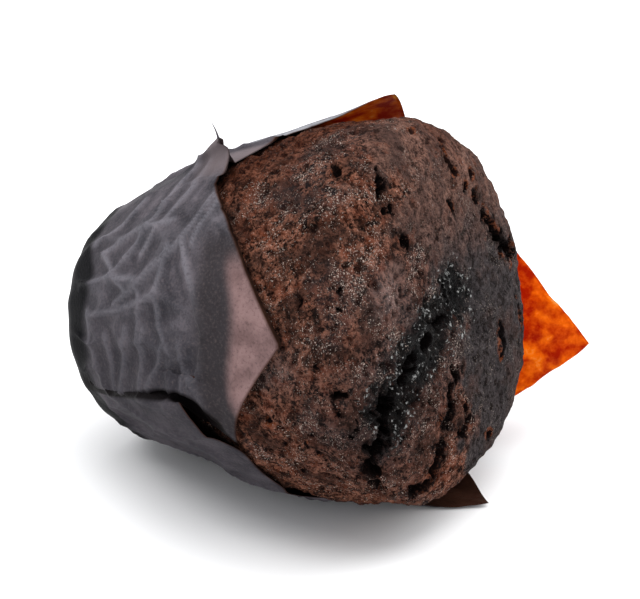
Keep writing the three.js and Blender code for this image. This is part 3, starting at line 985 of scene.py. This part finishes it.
def paper_outside(t, mottle, fibre, streaks):
    """The grey outer face: mottled and streaked, with painted highlights on its creases and painted shade
    round the foot.
    """
    outer = t.mix(t.range(mottle, 0.36, 0.62), PAPER_DARK, PAPER_LIGHT)
    outer = t.mix(t.range(streaks, 0.45, 0.7, 0, 0.35), outer, STREAK_GREY)
    # Painted shade in the folds.
    outer = t.tint(outer, t.mask("fold_shade"), 0.8, FOLD_SHADE_GREY)
    # Painted highlight on the creases and ridges.
    outer = t.tint(outer, t.mask("crease"), 0.48, CREASE_HIGHLIGHT_GREY)
    # Painted shade on the lower side of the cup.
    outer = t.tint(outer, t.mask("lower_shade"), 0.6, LOWER_SHADE_GREY)
    # Painted shade on the near petal's upper part.
    outer = t.tint(outer, t.mask("petal_shade"), 0.88, PETAL_SHADE_GREY)
    # Painted light on the upper edge of the near petal.
    pink = t.mix(t.range(mottle, 0.4, 0.6), LIT_RIM_DEEP, LIT_RIM_PINK)
    outer = t.tint(outer, t.mask("lit_rim"), 0.9, pink)
    outer = t.mix(t.range(fibre, 0.50, 0.70, 0, 0.16), outer, FIBRE_LIGHT)
    outer = t.mix(t.range(fibre, 0.48, 0.34, 0, 0.35), outer, FIBRE_DARK)
    # Painted shade round the foot.
    outer = t.tint(outer, t.mask("foot"), 0.96, FOOT_SHADE_BLACK)
    # Painted sheen on the top petal's outer face.
    in_streaks = t.range(streaks, 0.35, 0.65, 0.35, 0.85)
    return t.tint(outer, t.mask("top_sheen"), in_streaks, SHEEN_GREY)


def light_through(t, place):
    """The cloudy orange glow of the paper where light comes through it."""
    cloud = t.noise(place, 4.0, 4, 0.65)
    glow = t.mix(t.range(cloud, 0.38, 0.60), GLOW_DEEP, GLOW_ORANGE)
    glow = t.mix(t.range(cloud, 0.60, 0.68, 0, 0.6), glow, GLOW_PALE)
    return t.add("ShaderNodeBsdfTranslucent", Color=glow)


def brown_parchment():
    """Grey mottled parchment, brown inside, that glows where light comes through it."""
    material, t, output = new_material("brown_parchment")
    place = t.place()
    mottle, fibre = mottling(t, 7.0, 4, 0.6, 0.6)
    streaks = t.noise(place, 2.4, 3, 0.6)
    inner = t.mix(t.range(mottle, 0.35, 0.65), INSIDE_DARK, INSIDE_BROWN)
    surface = t.mix(t.mask("inside"), paper_outside(t, mottle, fibre, streaks), inner)
    # Painted light on the tip of the top pleat.
    surface = t.tint(surface, t.mask("tip"), 0.75, TIP_HIGHLIGHT_GREY)
    # Painted shade inside the tucked pleat.
    surface = t.tint(surface, t.mask("tucked"), 0.95, TUCKED_SHADE_BLACK)

    shader = t.add("ShaderNodeBsdfPrincipled")
    shader.inputs["Roughness"].default_value = 0.5
    shader.inputs["Specular IOR Level"].default_value = 0.02
    t.feed(shader.inputs["Base Color"], surface)
    t.feed(shader.inputs["Normal"], t.bump(t.math("ADD", fibre, streaks), 0.35, 0.3))
    blend = t.add("ShaderNodeMixShader")
    t.feed(blend.inputs[0], t.range(t.mask("sheer"), 0.0, 1.0, 0.0, 0.75))
    t.feed(blend.inputs[1], shader.outputs[0])
    t.feed(blend.inputs[2], light_through(t, place).outputs[0])
    t.feed(output.inputs["Surface"], blend.outputs[0])
    return material


def pale_floor():
    material, t, output = new_material("pale_floor")
    shader = t.add("ShaderNodeBsdfPrincipled")
    shader.inputs["Base Color"].default_value = FLOOR_WHITE
    shader.inputs["Roughness"].default_value = 0.9
    t.feed(output.inputs["Surface"], shader.outputs[0])
    return material


# ---- The stage ----
def build_floor():
    bm = bmesh.new()
    bmesh.ops.create_grid(bm, x_segments=1, y_segments=1, size=FLOOR_HALF_WIDTH)
    bmesh.ops.translate(bm, verts=bm.verts, vec=(0, 0, -FLOOR_DROP))
    mesh = bpy.data.meshes.new("floor")
    bm.to_mesh(mesh)
    bm.free()
    floor = bpy.data.objects.new("floor", mesh)
    floor.data.materials.append(pale_floor())
    bpy.context.scene.collection.objects.link(floor)


def aimed(thing, place, target):
    """Put a lamp or camera at a place, looking at the target."""
    thing.location = place
    thing.rotation_euler = (Vector(target) - Vector(place)).to_track_quat("-Z", "Y").to_euler()
    bpy.context.scene.collection.objects.link(thing)


def softbox(name, place, target, width, watts):
    light = bpy.data.lights.new(name, "AREA")
    light.shape = "DISK"
    light.size = width
    light.energy = watts
    aimed(bpy.data.objects.new(name, light), place, target)


def build_studio(middle):
    for name, place, width, watts in SOFTBOXES:
        softbox(name, middle + Vector(place), middle, width, watts)
    world = bpy.data.worlds.new("studio")
    world.use_nodes = True
    sky = world.node_tree.nodes["Background"]
    sky.inputs["Color"].default_value = SKY_WHITE
    sky.inputs["Strength"].default_value = SKY_STRENGTH
    bpy.context.scene.world = world


def build_camera():
    level = math.cos(CAMERA_ELEVATION)
    back = Vector((math.sin(CAMERA_AZIMUTH) * level, -math.cos(CAMERA_AZIMUTH) * level,
                   math.sin(CAMERA_ELEVATION)))
    target = Vector(lay(np.array([CAMERA_TARGET]))[0])
    camera = bpy.data.cameras.new("camera")
    camera.sensor_width = SENSOR_WIDTH
    camera.lens = LENS
    thing = bpy.data.objects.new("camera", camera)
    aimed(thing, target + back * CAMERA_DISTANCE, target)
    bpy.context.scene.camera = thing


scene = bpy.context.scene
scene.view_settings.view_transform = "Standard"
build_floor()
build_camera()
build_studio(Vector(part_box("cake")[0]).lerp(Vector(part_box("cake")[1]), 0.5))
mottled_grain()
build_cake(chocolate_cake())
parchment = brown_parchment()
build_paper(parchment)
build_torn_fibre(parchment)
